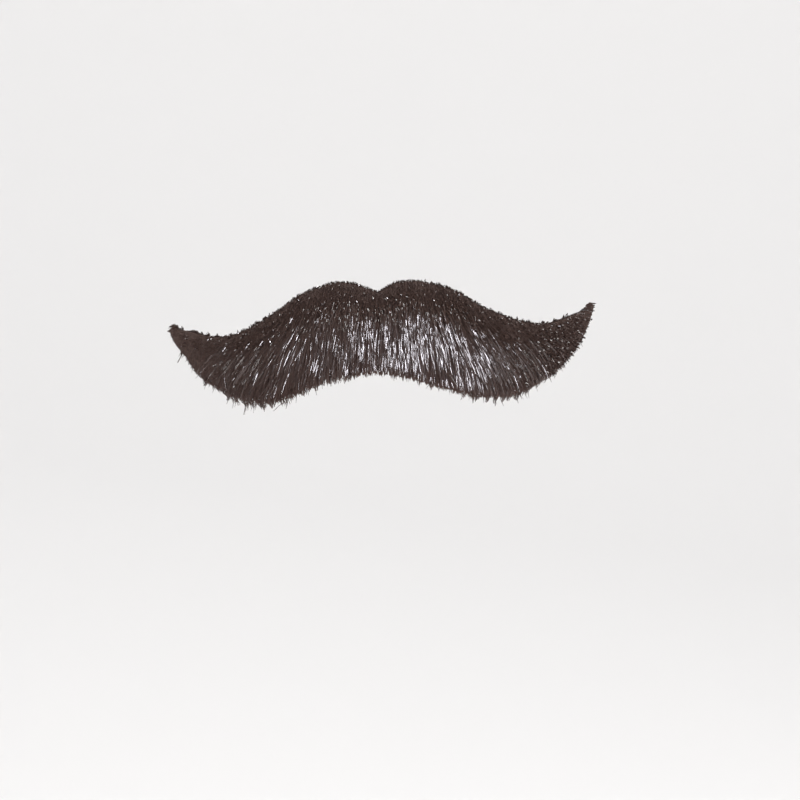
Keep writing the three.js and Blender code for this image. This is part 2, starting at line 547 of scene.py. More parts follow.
@dataclass(frozen=True)
class StudioFinish:
    """Plain matt paper."""

    name: str = "studio_paper"
    paper: Colour = (0.80, 0.79, 0.78)

    def material(self) -> Material:
        """Makes the material.

        Returns:
            The material.
        """
        shader = Shader(self.name)
        shader.settle(Base_Color=self.paper, Roughness=0.9)
        return shader.material


# Meshes


def points_of(parts: list) -> list[bmesh.types.BMVert]:
    """Picks the vertices out of what an operator made."""
    return [part for part in parts if isinstance(part, bmesh.types.BMVert)]


def as_object(shell: Shell, name: str, material: Material, smooth: bool = True) -> Piece:
    """Turns a finished bmesh into an object at the origin.

    Args:
        shell: The shape, in metres. It is freed.
        name: The piece's name.
        material: Its finish.
        smooth: Whether its faces are shaded as one smooth surface.

    Returns:
        The object, linked into the scene.
    """
    mesh = bpy.data.meshes.new(name)
    shell.to_mesh(mesh)
    shell.free()
    mesh.materials.append(material)
    if smooth:
        mesh.shade_smooth()
    piece = bpy.data.objects.new(name, mesh)
    bpy.context.scene.collection.objects.link(piece)
    return piece


@dataclass(frozen=True)
class Layer:
    """A layer that follows the cut: two faces and a rim between them.

    end, top and low are how far its edges stay inside the hair's outline. The last two shrink
    with the section, as the cut does. Its ends are rounded over the length end_round, all but a
    last bit, and edges that turn by more than sharp, in degrees, are rounded by rim.
    """

    pattern: Pattern
    end: float
    top: float
    low: float
    back: float
    front: Callable[[Array, Array], Union[Array, float]]
    end_round: float = 2.0
    blunt: float = 0.999
    stations: int = 150
    rows: int = 22
    rim: float = 0.25
    sharp: float = 50.0

    def outline(self, x: Array, y: Array) -> tuple[Array, Array]:
        """Maps a unit square to the flat layout.

        Args:
            x: -1 at the left tip, 1 at the right tip.
            y: -1 at the low edge, 1 at the top edge.

        Returns:
            Places along and up.
        """
        pattern = self.pattern
        length = np.where(x < 0, pattern.left.length, pattern.right.length) - self.end
        along = length * np.sin(x * math.pi / 2)
        left = length - np.abs(along)
        into_round = np.clip(1 - left / self.end_round, 0, self.blunt)
        share = pattern.tall_share(along)
        highest = pattern.top(along) - self.top * share
        lowest = pattern.low(along) + self.low * share
        middle = (highest + lowest) / 2
        half = (highest - lowest) / 2 * np.sqrt(1 - into_round**2)
        return along, middle + half * y

    def shell(self) -> Shell:
        """Builds the layer.

        Returns:
            A closed shell in metres, with the flat layout in centimetres as its UV map. The map
            goes on around the edges.
        """
        shell = bmesh.new()
        uv = shell.loops.layers.uv.new("cut")
        bmesh.ops.create_grid(shell, x_segments=self.stations, y_segments=self.rows, size=1.0)
        lifted = bmesh.ops.extrude_face_region(shell, geom=shell.faces[:])
        bmesh.ops.translate(shell, verts=points_of(lifted["geom"]), vec=(0, 0, 1))
        square = np.array([vert.co for vert in shell.verts])
        along, up = self.outline(square[:, 0], square[:, 1])
        out = self.back + (self.front(along, up) - self.back) * square[:, 2]
        shell.verts.index_update()
        folded = up + square[:, 1] * (out - self.back)
        for face in shell.faces:
            for loop in face.loops:
                laid = loop.vert.index
                loop[uv].uv = (along[laid] / MM_IN_CM, folded[laid] / MM_IN_CM)
        for vert, point in zip(shell.verts, self.pattern.place(along, up, out)):
            vert.co = point
        bmesh.ops.recalc_face_normals(shell, faces=shell.faces)
        sharp = math.radians(self.sharp)
        rim = [edge for edge in shell.edges if edge.calc_face_angle(0) > sharp]
        bmesh.ops.bevel(
            shell, geom=rim, offset=self.rim * MM, segments=3, profile=0.5, affect="EDGES",
            material=-1, clamp_overlap=True,
        )
        return shell


@dataclass(frozen=True)
class GroundCloth:
    """The knitted ground of the pile fabric, cut with a small margin inside the hair's outline."""

    pattern: Pattern
    finish: KnitFinish = KnitFinish()
    name: str = "ground_cloth"
    end: float = 0.6
    top: float = 0.4
    low: float = 1.7
    area_steps: int = 400

    def build(self) -> Piece:
        """Returns:
            The cloth.
        """
        pattern = self.pattern
        layer = Layer(
            pattern, self.end, self.top, self.low, back=pattern.cloth_back,
            front=lambda along, up: pattern.cloth_front,
        )
        piece = as_object(layer.shell(), self.name, self.finish.material())
        x, y = np.linspace(-1, 1, self.area_steps), np.array([[-1.0], [1.0]])
        along, up = layer.outline(x + 0 * y, y + 0 * x)
        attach(piece, "root")
        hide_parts("fur_cloth")
        return piece


@dataclass(frozen=True)
class AdhesiveFilm:
    """The film of adhesive on the back of the ground cloth, cut smaller than the cloth."""

    pattern: Pattern
    finish: FilmFinish = FilmFinish()
    name: str = "adhesive_film"
    end: float = 1.9
    top: float = 1.7
    low: float = 3.0
    thick: float = 0.4
    end_round: float = 2.5
    rim: float = 0.12

    def build(self) -> Piece:
        """Builds the film.

        Returns:
            The film.
        """
        layer = Layer(
            self.pattern, self.end, self.top, self.low, back=0.0,
            front=lambda along, up: self.thick, end_round=self.end_round, rim=self.rim,
        )
        piece = as_object(layer.shell(), self.name, self.finish.material())
        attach(piece, "root")
        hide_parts("adhesive_tape")
        return piece


@dataclass(frozen=True)
class UnderPile:
    """The dense roots of the pile, as one dark mass under the combed fibres.

    It is sunk a little into the cloth, and stands a share of the pile's height over it.
    """

    pattern: Pattern
    finish: UnderPileFinish = UnderPileFinish()
    name: str = "under_pile"
    end: float = 0.2
    top: float = 0.25
    low: float = 1.3
    sunk: float = 0.1
    share: float = 0.76
    rows: int = 30
    rim: float = 0.1

    def build(self) -> Piece:
        """Builds the mass.

        Returns:
            The mass.
        """
        pattern = self.pattern
        base = pattern.cloth_front
        layer = Layer(
            pattern, self.end, self.top, self.low, back=base - self.sunk,
            front=lambda along, up: base + self.share * pattern.height(along, up),
            rows=self.rows, rim=self.rim,
        )
        piece = as_object(layer.shell(), self.name, self.finish.material())
        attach(piece, "root")
        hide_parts("fur_cloth")
        return piece


# Fibres


@dataclass(frozen=True)
class Patches:
    """Smooth random values over the cut, one seeded draw for each cell."""

    seed: int
    cells: int = 4093
    column_step: int = 127
    row_step: int = 1013

    def at(self, across: Array, down: Array) -> Array:
        """Reads the values.

        Args:
            across: Places across the comb, in cells.
            down: Places along the comb, in cells.

        Returns:
            Values from -1 to 1.
        """
        table = np.random.default_rng(self.seed).uniform(-1, 1, self.cells)
        column, row = np.floor(across), np.floor(down)
        x, y = across - column, down - row
        x, y = x * x * (3 - 2 * x), y * y * (3 - 2 * y)

        def draw(right: int, below: int) -> Array:
            """Reads the corners of the cells."""
            mixed = (column + right) * self.column_step + (row + below) * self.row_step
            return table[np.mod(mixed, self.cells).astype(int)]

        upper = draw(0, 0) * (1 - x) + draw(1, 0) * x
        lower = draw(0, 1) * (1 - x) + draw(1, 1) * x
        return upper * (1 - y) + lower * y


@dataclass(frozen=True)
class Growth:
    """Fibres in the flat layout: one row for each ring, from root to tip, one column for each."""

    along: Array
    up: Array
    out: Array
    radius: Array
    twist: Array
    tone: Array

    def only(self, chosen: Array) -> "Growth":
        """Keeps the chosen fibres."""
        return Growth(**{name: values[..., chosen] for name, values in vars(self).items()})


@dataclass(frozen=True)
class FibreMesh:
    """Makes a batch of fibres as closed tapered tubes with three sides.

    One straight tube is doubled again and again beside itself, and each copy is then laid along
    its own fibre.
    """

    pattern: Pattern
    rings: int
    taper: Profile = Profile((0.0, 0.5, 0.85, 1.0), (0.9, 1.0, 0.9, 0.5))
    sides: int = 3
    pitch: float = 4.0

    def straight(self, count: int) -> Shell:
        """Builds a row of straight tubes, one unit long, at multiples of pitch along X.

        Args:
            count: How many.

        Returns:
            The row.
        """
        row = bmesh.new()
        bmesh.ops.create_cone(
            row, cap_ends=True, segments=self.sides, radius1=1, radius2=1, depth=1
        )
        bmesh.ops.translate(row, verts=row.verts, vec=(0, 0, 0.5))
        for ring in range(1, self.rings - 1):
            everything = row.verts[:] + row.edges[:] + row.faces[:]
            level = (0, 0, ring / (self.rings - 1))
            bmesh.ops.bisect_plane(row, geom=everything, plane_co=level, plane_no=(0, 0, 1))
        made = 1
        while made < count:
            everything = row.verts[:] + row.edges[:] + row.faces[:]
            copies = points_of(bmesh.ops.duplicate(row, geom=everything)["geom"])
            bmesh.ops.translate(row, verts=copies, vec=(made * self.pitch, 0, 0))
            made *= 2
        limit = (count - 0.5) * self.pitch
        spare = [vert for vert in row.verts if vert.co.x > limit]
        bmesh.ops.delete(row, geom=spare, context="VERTS")
        return row

    def build(self, growth: Growth, name: str, material: Material) -> Piece:
        """Builds the fibres as one piece.

        Args:
            growth: Where the fibres lie.
            name: The piece's name.
            material: Its finish.

        Returns:
            The piece.
        """
        straight = self.straight(growth.along.shape[1])
        piece = as_object(straight, name, material, smooth=False)
        mesh = piece.data
        flat = np.empty(len(mesh.vertices) * 3, np.float32)
        mesh.vertices.foreach_get("co", flat)
        local = flat.reshape(-1, 3).astype(float)
        fibre = np.round(local[:, 0] / self.pitch).astype(int)
        ring = np.round(local[:, 2] * (self.rings - 1)).astype(int)
        angle = np.arctan2(local[:, 1], local[:, 0] - fibre * self.pitch)
        angle = angle + growth.twist[ring, fibre]
        run = ring / (self.rings - 1)

        centre = self.pattern.place(growth.along, growth.up, growth.out)
        tangent = np.gradient(centre, axis=0)
        tangent /= np.linalg.norm(tangent, axis=-1, keepdims=True)
        side = np.cross(tangent, self.pattern.outward(growth.along))
        side /= np.maximum(np.linalg.norm(side, axis=-1, keepdims=True), TINY)
        face = np.cross(tangent, side)
        radius = growth.radius[fibre] * self.taper.at(run) * MM
        spread = np.cos(angle)[:, None] * side[ring, fibre]
        spread = spread + np.sin(angle)[:, None] * face[ring, fibre]
        points = centre[ring, fibre] + radius[:, None] * spread
        mesh.vertices.foreach_set("co", points.astype(np.float32).ravel())
        for label, values in (("tone", growth.tone[fibre]), ("run", run)):
            layer = mesh.attributes.new(label, "FLOAT", "POINT")
            layer.data.foreach_set("value", values.astype(np.float32))
        mesh.update()
        return piece


class Kind(Enum):
    """The kinds of fibre in the pile."""

    UNDER = "under"
    GUARD = "guard"
    LONG = "long"
    TRIMMED = "trimmed"
    NODDING = "nodding"
    FRINGE = "fringe"
    EDGE = "edge"


@dataclass(frozen=True)
class Fibre:
    """One kind of fibre.

    lay is how far a fibre lies along the cloth, and tilt is how steeply its end stands off the
    surface of the pile, in degrees. Both run over the way from the top edge to the low one. At
    the tips of the wings lay is tip_lay times as long, and tilt is tip_tilt at least. depth is the
    height of the highest ends, as a share of the pile's, and sink is how much lower the lowest
    ones are. scatter turns the fibres within the surface of the pile, tilt_scatter turns them off
    it, and twist turns a fibre's section about itself, all in degrees. follow is how closely a
    fibre follows the surface, from 0 for a straight one to 1. It leaves the cloth more sharply
    with more curl, which lies between two numbers. The section has a face outwards, which facing
    turns back towards the front by a share of the bend, on the left and on the right wing. root
    is how far behind the cloth's face a fibre starts. Where the pile is combed loosely,
    loose_tilt and loose_scatter are added, and lay is loose_lay times as long. sides is how
    common the kind is on the left and on the right wing. density is per square millimetre, but
    per millimetre of edge for the trimmed, fringe and edge kinds.
    """

    kind: Kind
    density: float
    diameter: float
    lay: Profile
    tilt: Profile
    tip_lay: float
    tip_tilt: float
    depth: Profile
    sink: float
    scatter: float
    tilt_scatter: float
    rings: int = 4
    follow: float = 1.0
    curl: Pair = (2.6, 4.2)
    twist: float = 60.0
    tone: float = 0.4
    facing: Pair = (0.0, 0.0)
    root: float = 0.0
    loose_tilt: float = 0.0
    loose_scatter: float = 0.0
    loose_lay: float = 1.0
    sides: Pair = (1.0, 1.0)


UNDER = Fibre(
    Kind.UNDER, density=31.0, diameter=0.095,
    lay=Profile((0.0, 0.05, 0.15, 0.3, 0.5, 1.0), (-0.45, 0.0, 0.8, 1.7, 2.8, 3.2)),
    tilt=Profile((0.0, 0.14, 0.26, 0.4, 0.6, 1.0), (68.0, 58.0, 42.0, 26.0, 14.0, 12.0)),
    tip_lay=0.35, tip_tilt=58.0,
    depth=Profile((0.0, 0.3, 0.5, 1.0), (1.0, 1.0, 0.9, 0.9)),
    sink=0.25, scatter=8.0, tilt_scatter=7.0, loose_tilt=16.0, loose_scatter=10.0, loose_lay=0.45,
)
GUARD = Fibre(
    Kind.GUARD, density=10.0, diameter=0.07,
    lay=Profile((0.0, 0.2, 0.3, 0.5, 0.7, 1.0), (0.2, 0.9, 1.8, 3.4, 4.8, 5.6)),
    tilt=Profile((0.0, 0.16, 0.26, 0.36, 0.5, 0.75, 1.0), (60.0, 34.0, 18.0, 9.0, 4.5, 2.8, 2.8)),
    tip_lay=0.4, tip_tilt=40.0, depth=level(1.02), sink=0.24, scatter=4.0, tilt_scatter=2.6,
    rings=7, follow=0.25, curl=(6.0, 8.0), twist=6.0, facing=(-0.1, 0.6), sides=(0.85, 1.0),
)
TRIMMED = replace(GUARD, kind=Kind.TRIMMED, density=9.5, sides=(0.75, 1.0))
LONG = replace(
    GUARD, kind=Kind.LONG, density=0.3, diameter=0.082,
    lay=Profile((0.0, 0.3, 1.0), (2.0, 5.5, 8.0)),
    depth=level(1.05), sink=0.03, twist=1.5, tilt_scatter=1.5, facing=(1.0, 1.0), loose_tilt=10.0,
    sides=(0.55, 1.0),
)
NODDING = Fibre(
    Kind.NODDING, density=4.0, diameter=0.22,
    lay=Profile((0.0, 0.1, 0.3, 0.5, 1.0), (0.3, 0.45, 0.75, 0.9, 0.9)),
    tilt=level(4.0), tip_lay=0.65, tip_tilt=26.0, depth=level(1.04), sink=0.08, scatter=34.0,
    tilt_scatter=8.0, follow=0.15, curl=(5.0, 7.0), twist=24.0, tone=0.2, facing=(1.0, 1.0),
)
FRINGE = Fibre(
    Kind.FRINGE, density=46.0, diameter=0.12, lay=level(2.6), tilt=level(4.0), tip_lay=0.4,
    tip_tilt=12.0, depth=level(0.8), sink=0.45, scatter=6.0, tilt_scatter=6.0, curl=(4.0, 6.0),
    tone=0.45,
)
EDGE = Fibre(
    Kind.EDGE, density=40.0, diameter=0.13, lay=level(-0.5), tilt=level(50.0), tip_lay=1.0,
    tip_tilt=50.0, depth=level(1.0), sink=0.7, scatter=13.0, tilt_scatter=9.0, root=0.9,
)


class Draw(Enum):
    """The comb's random patterns, with what each adds to the seed."""

    LOCK_LEAN = 1
    LOCK_DEPTH = 2
    LOCK_TILT = 3
    SWATHE_TILT = 4
    LOW_TUFTS = 5
    WANDER = 6
    TOP_TUFTS = 7


@dataclass(frozen=True)
class Tufts:
    """Small tufts along an edge.

    The longest reach past it by length, and with a higher few they are rarer. They shrink where
    the section is slimmer than the share 1 / slim of the tallest.
    """

    draw: Draw
    length: float
    few: float
    slim: float
    wide: float = 0.36


@dataclass(frozen=True)
class Comb:
    """How the pile is combed: where its fibres end, and how locks and swathes turn them.

    The pile stands up towards the tip of a wing, from the share tip_starts of its length to
    tip_full. It is combed loosely on the wings, fully so from loose_to on, in millimetres from
    the notch. A lock is a few fibres wide, and a swathe is a few locks wide. The crown and the
    tips have glints in place of long glossy fibres. A fibre that ends past an edge reaches back
    into the pile by anchor. wander_cell is wide and long, and every other pair of numbers is the
    least and the most.
    """

    pattern: Pattern
    tip_starts: float = 0.7
    tip_full: float = 0.94
    root_height: float = 0.15
    lock: float = 0.8
    lock_long: float = 5.0
    lock_scatter: float = 3.0
    lock_tilt: float = 6.5
    lock_rise: float = 0.03
    swathe: float = 2.8
    swathe_long: float = 2.5
    swathe_tilt: float = 10.0
    wander: float = 0.3
    wander_cell: Pair = (1.7, 2.5)
    loose_from: float = 14.0
    loose_to: float = 26.0
    looseness: float = 1.5
    loose_twist: float = 3.0
    gloss_starts: float = 0.5
    gloss_rate: float = 2.6
    tip_matt: float = 0.95
    loose_matt: float = 0.9
    crown_glints: float = 0.4
    crown_glints_top: float = 1.3
    crown_glints_rate: float = 3.0
    glints_start: float = 0.55
    left_glints: float = 0.12
    long_from: float = 9.0
    long_fade: float = 3.0
    vary: Pair = (0.7, 1.25)
    room_share: float = 0.9
    room_past: float = 0.15
    sink_few: float = 1.4
    tilt_limits: Pair = (-4.0, 78.0)
    pull: float = 0.25
    stray_share: float = 0.06
    stray_scatter: float = 34.0
    stray_twist: float = 90.0
    tone_scatter: float = 0.16
    lock_tone: float = 0.12
    past_tips: float = 0.3
    trim_band: Pair = (0.02, 0.5)
    low_tufts: Tufts = Tufts(Draw.LOW_TUFTS, length=1.3, few=2.2, slim=5.0)
    low_vary: Pair = (0.1, 1.0)
    single_share: float = 0.09
    single_reach: float = 0.9
    hang_middle: float = 0.45
    hang_more: float = 0.9
    hang_full: float = 20.0
    hang_turn: float = 1.5
    top_tufts: Tufts = Tufts(Draw.TOP_TUFTS, length=0.7, few=1.8, slim=8.0)
    top_calm: float = 0.5
    top_band: float = 0.3
    anchor: float = 0.4
    seed: int = 59

    def patches(self, draw: Draw) -> Patches:
        """One of the comb's random patterns."""
        return Patches(self.seed + draw.value)

    def tufted(self, tufts: Tufts, along: Array) -> Array:
        """How far tufts reach past their edge, before they shrink where the section is slim."""
        bumps = self.patches(tufts.draw).at(along / tufts.wide, 0 * along) * 0.5 + 0.5
        return tufts.length * bumps**tufts.few

    def slim(self, tufts: Tufts, along: Array) -> Array:
        """What is left of the tufts where the section is slim."""
        return np.clip(tufts.slim * self.pattern.tall_share(along), 0, 1)

    def scatter(self, density: float, past: float, rng: np.random.Generator) -> Array:
        """Scatters places along the whole cut, and past its tips too."""
        left, right = self.pattern.left.length, self.pattern.right.length
        return rng.uniform(-left - past, right + past, int(density * (left + right)))

    def spread(self, density: float, rng: np.random.Generator) -> tuple[Array, Array]:
        """Scatters fibres' ends evenly over the cut, in a jittered grid.

        Args:
            density: Ends per square millimetre.
            rng: The seeded draws.

        Returns:
            Places along and up, inside the outline.
        """
        pattern = self.pattern
        step = 1 / math.sqrt(density)
        across = np.arange(-pattern.left.length, pattern.right.length, step)
        tall = pattern.right.tallest
        heights = np.arange(-tall, tall, step)
        along, up = (grid.ravel() for grid in np.meshgrid(across, heights))
        along = along + rng.uniform(-0.5, 0.5, along.size) * step
        up = up + rng.uniform(-0.5, 0.5, up.size) * step
        down = pattern.down(along, up)
        inside = (down > 0.0) & (down < 1.0)
        return along[inside], up[inside]

    def hang(self, density: float, rng: np.random.Generator) -> tuple[Array, Array]:
        """Scatters the ends of fibres that hang a little past the low edge, in small tufts.

        Args:
            density: Ends per millimetre of edge.
            rng: The seeded draws.

        Returns:
            Places along and up.
        """
        along = self.scatter(density, self.past_tips, rng)
        count = along.size
        reach = self.tufted(self.low_tufts, along) * rng.uniform(*self.low_vary, count)
        single = rng.uniform(size=count) < self.single_share
        reach = reach + single * rng.uniform(0, self.single_reach, count)
        outer = np.clip(np.abs(along) / self.hang_full, 0, 1)
        reach = reach * (self.hang_middle + self.hang_more * outer)
        reach = reach * self.slim(self.low_tufts, along)
        low = self.pattern.low(along)
        outwards = self.hang_turn * self.pattern.lean(along, low)
        return along + reach * np.sin(outwards), low - reach * np.cos(outwards)

    def trim(self, density: float, rng: np.random.Generator) -> tuple[Array, Array]:
        """Scatters the ends of long fibres that were cut off along the low edge."""
        along = self.scatter(density, 0.0, rng)
        return along, self.pattern.low(along) + rng.uniform(*self.trim_band, along.size)

    def stand(self, density: float, rng: np.random.Generator) -> tuple[Array, Array]:
        """Scatters the ends of fibres that make small bumps along the top edge.

        Args:
            density: Ends per millimetre of edge.
            rng: The seeded draws.

        Returns:
            Places along and up.
        """
        along = self.scatter(density, self.past_tips, rng)
        calm = self.top_calm + (1 - self.top_calm) * self.loose(along)
        reach = self.tufted(self.top_tufts, along) * calm * self.slim(self.top_tufts, along)
        reach = reach + self.top_band
        base = self.pattern.top(along) - self.top_band
        return along, base + rng.uniform(0, 1, along.size) * reach

    def tipward(self, along: Array, starts: Optional[float] = None) -> Array:
        """How far the pile stands up towards a wing's tip.

        Args:
            along: Places along the pattern.
            starts: The share of the wing at which it starts, if it isn't tip_starts.

        Returns:
            Shares from 0 to 1.
        """
        starts = self.tip_starts if starts is None else starts
        length = np.where(along < 0, self.pattern.left.length, self.pattern.right.length)
        share = np.clip((np.abs(along) / length - starts) / (self.tip_full - self.tip_starts), 0, 1)
        return share * share * (3 - 2 * share)

    def loose(self, along: Array) -> Array:
        """How loosely the pile is combed, from 0 in the middle to 1 on the wings."""
        return np.clip((np.abs(along) - self.loose_from) / (self.loose_to - self.loose_from), 0, 1)

    def common(self, kind: Kind, along: Array, down: Array) -> Array:
        """How common a kind of fibre is at a place, as a share of its full density.

        Args:
            kind: The kind.
            along: Places along the pattern.
            down: The same places, as shares of the way from the top edge to the low one.

        Returns:
            Shares from 0 to 1.
        """
        under_crown = np.clip(self.gloss_rate * down - self.gloss_starts, 0, 1)
        if kind is Kind.NODDING:
            crown = np.clip(self.crown_glints_top - self.crown_glints_rate * down, 0, 1)
            tip = self.tipward(along, self.glints_start) * np.where(along < 0, self.left_glints, 1)
            return np.maximum(tip, self.crown_glints * crown)
        if kind is Kind.LONG:
            outer = np.clip((np.abs(along) - self.long_from) / self.long_fade, 0, 1)
            return under_crown * outer * (1 - self.tipward(along))
        if kind in (Kind.GUARD, Kind.TRIMMED):
            glossy = under_crown * (1 - self.tip_matt * self.tipward(along))
            return glossy * (1 - self.loose_matt * self.loose(along))
        return np.ones_like(along)

    def grow(self, fibre: Fibre) -> Growth:
        """Grows every fibre of a kind back from its end to its root.

        Args:
            fibre: The kind.

        Returns:
            The fibres.
        """
        pattern = self.pattern
        rng = np.random.default_rng((self.seed, list(Kind).index(fibre.kind)))
        edges = {Kind.TRIMMED: self.trim, Kind.FRINGE: self.hang, Kind.EDGE: self.stand}
        along, up = edges.get(fibre.kind, self.spread)(fibre.density, rng)
        down = pattern.down(along, up)
        tipward = self.tipward(along)
        common = self.common(fibre.kind, along, down) * np.where(along < 0, *fibre.sides)
        kept = rng.uniform(size=along.size) < common
        along, up, down, tipward = along[kept], up[kept], down[kept], tipward[kept]
        count = along.size

        # The locks and swathes at the ends
        lean = pattern.lean(along, up)
        across = along * np.cos(lean) + up * np.sin(lean)
        wide, long = self.wander_cell
        wander = self.wander * self.patches(Draw.WANDER).at(along / wide, up / long)
        lock = across / self.lock + wander, up / (self.lock * self.lock_long)
        swathe = across / self.swathe, up / (self.swathe * self.swathe_long)
        lock_lean = self.patches(Draw.LOCK_LEAN).at(*lock)
        lock_depth = self.patches(Draw.LOCK_DEPTH).at(*lock)
        lock_tilt = self.patches(Draw.LOCK_TILT).at(*lock)
        swathe_tilt = self.patches(Draw.SWATHE_TILT).at(*swathe)

        # How long, how steep and which way the fibres lie
        full = pattern.fullness(along)
        room = np.maximum(0, pattern.top(along) - up) / np.cos(lean)
        loose = self.loose(along)
        lay = fibre.lay.at(down) * full * (1 - (1 - fibre.tip_lay) * tipward)
        lay = lay * (1 - (1 - fibre.loose_lay) * loose * (1 - tipward))
        reach = self.room_share * room + self.room_past
        lay = np.minimum(lay * rng.uniform(*self.vary, count), reach)
        past = np.maximum(pattern.low(along) - up, up - pattern.top(along))
        anchored = np.sign(lay) * np.maximum(np.abs(lay), past + self.anchor)
        lay = np.where(past > 0, anchored, lay)

        tilt = fibre.tilt.at(down)
        tilt = tilt + (np.maximum(tilt, fibre.tip_tilt) - tilt) * tipward
        tilt = tilt + fibre.loose_tilt * loose
        tilt = tilt + fibre.tilt_scatter * (1 + self.looseness * loose) * rng.normal(size=count)
        tilt = tilt + self.lock_tilt * lock_tilt + self.swathe_tilt * swathe_tilt

        scatter = fibre.scatter + fibre.loose_scatter * loose
        turned = scatter * rng.normal(size=count) + self.lock_scatter * lock_lean
        stray = rng.uniform(size=count) < self.stray_share
        turned = np.where(stray, self.stray_scatter * rng.uniform(-1, 1, count), turned)
        turned = np.radians(turned)

        # The way back to the root, drawn together into locks
        steps = fibre.rings - 1
        path = [(along, up)]
        for _ in range(steps):
            last_along, last_up = path[-1]
            heading = pattern.lean(last_along, last_up) + turned
            back = lay / steps
            path.append((last_along - back * np.sin(heading), last_up + back * np.cos(heading)))
        path = np.array(path[::-1])
        ring_along, ring_up = path[:, 0], path[:, 1]

        run = np.linspace(0, 1, fibre.rings)[:, None]
        beside = lock[0] - np.floor(lock[0]) - 0.5
        drawn = self.pull * self.lock * beside * run**2 * (1 - tipward)
        ring_along = ring_along - drawn * np.cos(lean)
        ring_up = ring_up - drawn * np.sin(lean)

        # How far out they are, how thick, and how their sections are turned
        depth = fibre.depth.at(down) - fibre.sink * rng.uniform(size=count) ** self.sink_few
        depth = depth + self.lock_rise * lock_depth
        surface = pattern.height(ring_along, ring_up) * depth
        surface = surface[-1] + (surface - surface[-1]) * fibre.follow
        sloped = np.abs(lay) * np.tan(np.radians(np.clip(tilt, *self.tilt_limits)))
        sloped = np.minimum(sloped, surface[0] - self.root_height)
        curl = rng.uniform(*fibre.curl, count)
        rest = np.maximum(0, surface[0] - sloped - self.root_height)
        rise = surface - sloped * (1 - run) - rest * (1 - run) ** curl
        out = pattern.cloth_front + np.maximum(rise, 0) - fibre.root * (1 - run)
        radius = fibre.diameter / 2 * rng.uniform(*self.vary, count)
        twist = fibre.twist * (rng.normal(size=count) + (run - 0.5) * rng.normal(size=count))
        twist = twist * (1 + self.loose_twist * loose)
        thrown = rng.uniform(-self.stray_twist, self.stray_twist, count)
        twist = np.radians(twist + np.where(stray, thrown, 0))
        twist = twist + np.where(along < 0, *fibre.facing) * pattern.turn(along)
        tone = fibre.tone + self.tone_scatter * rng.normal(size=count)
        tone = np.clip(tone + self.lock_tone * lock_depth, 0, 1)
        return Growth(ring_along, ring_up, out, radius, twist, tone)


class Side(Enum):
    """The two wings, with the sign of their places along the pattern."""

    LEFT = -1
    RIGHT = 1


class Band(Enum):
    """Bands of the pile, by the share of the way from the top edge at which fibres end."""

    CROWN = (-1.0, 0.36)
    SHOULDER = (0.36, 0.7)
    FALL = (0.7, 2.0)

    def holds(self, down: Array) -> Array:
        """Whether fibres that end at these shares are in the band."""
        return (down >= self.value[0]) & (down < self.value[1])


@dataclass(frozen=True)
class CombedPile:
    """The combed fibres, in one piece for each band of each wing and kind."""

    pattern: Pattern
    comb: Comb
    glossy: FibreFinish = FibreFinish()
    dull: FibreFinish = FibreFinish("pile_fibre_dull", smooth=0.4, dull=0.5, shine=0.15)

    def piece(self, fibre: Fibre, growth: Growth, name: str, material: Material) -> Piece:
        """Builds one piece of fibres.

        Args:
            fibre: Their kind.
            growth: Where they lie.
            name: The piece's name.
            material: Its finish.

        Returns:
            The piece.
        """
        piece = FibreMesh(self.pattern, fibre.rings).build(growth, name, material)
        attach(piece, "root")
        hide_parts("fur_cloth")
        return piece

    def build(self) -> list[Piece]:
        """Builds the pieces.

        Returns:
            The pieces of the under pile in bands, and one piece a wing of each other kind.
        """
        glossy, dull = self.glossy.material(), self.dull.material()
        pieces = []
        for fibre in (UNDER, GUARD, LONG, NODDING, TRIMMED, FRINGE, EDGE):
            material = dull if fibre.kind in (Kind.UNDER, Kind.FRINGE, Kind.EDGE) else glossy
            growth = self.comb.grow(fibre)
            along = growth.along[-1]
            down = self.pattern.down(along, growth.up[-1])
            for side in Side:
                on_side = (along < 0) == (side is Side.LEFT)
                wing = side.name.lower()
                parts = [(f"{fibre.kind.value}_fibres_{wing}", on_side)]
                if fibre.kind is Kind.UNDER:
                    names = [f"pile_{band.name.lower()}_{wing}" for band in Band]
                    parts = zip(names, [on_side & band.holds(down) for band in Band])
                for name, chosen in parts:
                    pieces.append(self.piece(fibre, growth.only(chosen), name, material))
        return pieces


# Studio


@dataclass(frozen=True)
class SoftBox:
    """A light on a stand. Angles are in degrees, seen from the moustache, and lengths in metres."""

    name: str
    azimuth: float
    elevation: float
    distance: float
    wide: float
    tall: float
    power: float
    tint: Colour = (1.0, 1.0, 1.0)
    aim: Triple = (0.0, 0.0, 0.0)

    def build(self) -> None:
        """Places the light. Azimuth 0 is the camera's side and 90 is +X."""
        lamp = bpy.data.lights.new(self.name, "AREA")
        lamp.shape = "RECTANGLE"
        lamp.size = self.wide
        lamp.size_y = self.tall
        lamp.energy = self.power
        lamp.color = self.tint
        holder = bpy.data.objects.new(self.name, lamp)
        azimuth, elevation = math.radians(self.azimuth), math.radians(self.elevation)
        reach = self.distance * math.cos(elevation)
        holder.location = (
            reach * math.sin(azimuth),
            -reach * math.cos(azimuth),
            self.distance * math.sin(elevation),
        )
        towards = Vector(self.aim) - holder.location
        holder.rotation_euler = towards.to_track_quat("-Z", "Y").to_euler()
        bpy.context.scene.collection.objects.link(holder)


